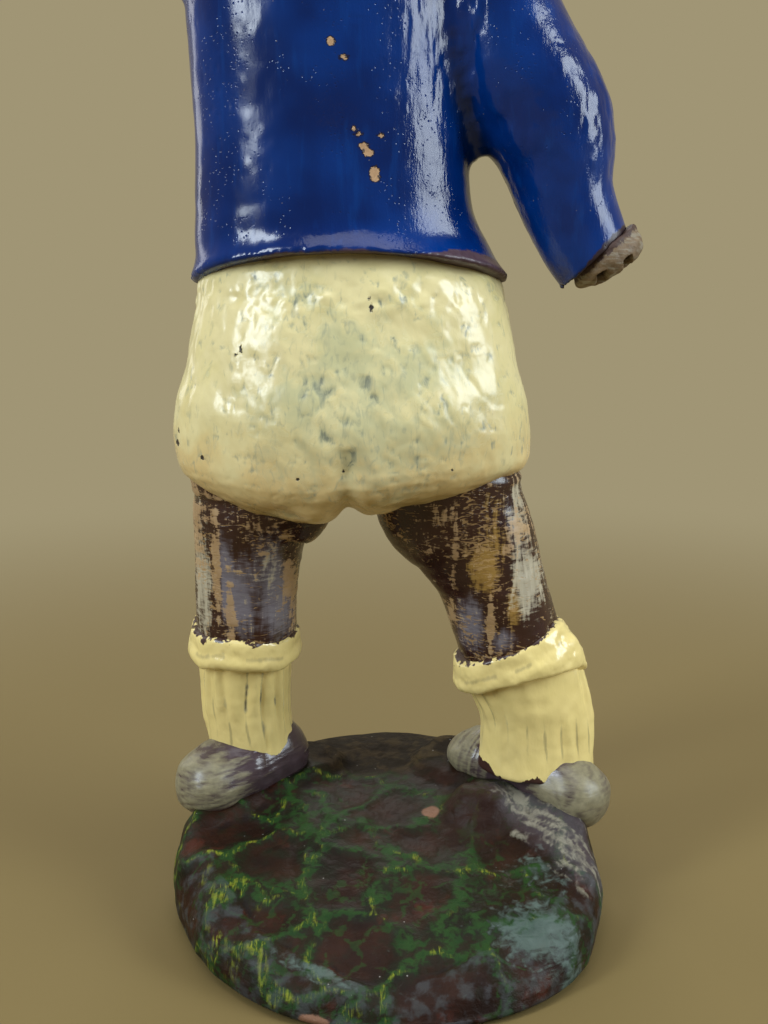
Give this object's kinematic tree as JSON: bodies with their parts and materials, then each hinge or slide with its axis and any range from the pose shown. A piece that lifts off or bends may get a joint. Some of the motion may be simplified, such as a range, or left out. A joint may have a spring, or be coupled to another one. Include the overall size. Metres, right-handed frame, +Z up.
{
  "type": "handball player figurine",
  "caption": "Hand-modelled painted clay handball player in jersey, shorts and ribbed socks, one arm stretched out, standing on a rough mound.",
  "frame": {"origin": "middle of the mound's flat underside, on the table", "axes": "+Z up; the figure's chest faces -Y; +X towards the figure's left hand"},
  "size_m": [0.1493, 0.106, 0.261],
  "materials": {
    "blue_enamel": "glossy dark blue enamel over fired clay, brushed, chipped to buff in places",
    "cream_enamel": "thick glossy cream-yellow enamel over fired clay, dirt in the hollows",
    "skin_paint": "thin red-brown paint over fired clay, rubbed through to ochre and tan",
    "shoe_paint": "brown paint dry-brushed with grey-cream over fired clay",
    "earth_paint": "dark brown paint with green and yellow-green strokes over fired clay",
    "bare_clay": "bare fired buff clay, broken and dusty",
    "hair_paint": "dark brown paint over fired clay"
  },
  "bodies": {
    "root": {"base_mound": "earth_paint", "left_shoe": "shoe_paint", "right_shoe": "shoe_paint", "left_sock": "cream_enamel", "right_sock": "cream_enamel", "left_sock_cuff": "cream_enamel", "right_sock_cuff": "cream_enamel", "left_thigh": "skin_paint", "right_thigh": "skin_paint", "shorts": "cream_enamel", "jersey": "blue_enamel", "collar": "blue_enamel", "right_sleeve": "blue_enamel", "right_wrist": "bare_clay", "left_sleeve": "blue_enamel", "left_hand": "skin_paint", "neck": "skin_paint", "head": "skin_paint", "hair": "hair_paint"}
  },
  "joints": []
}
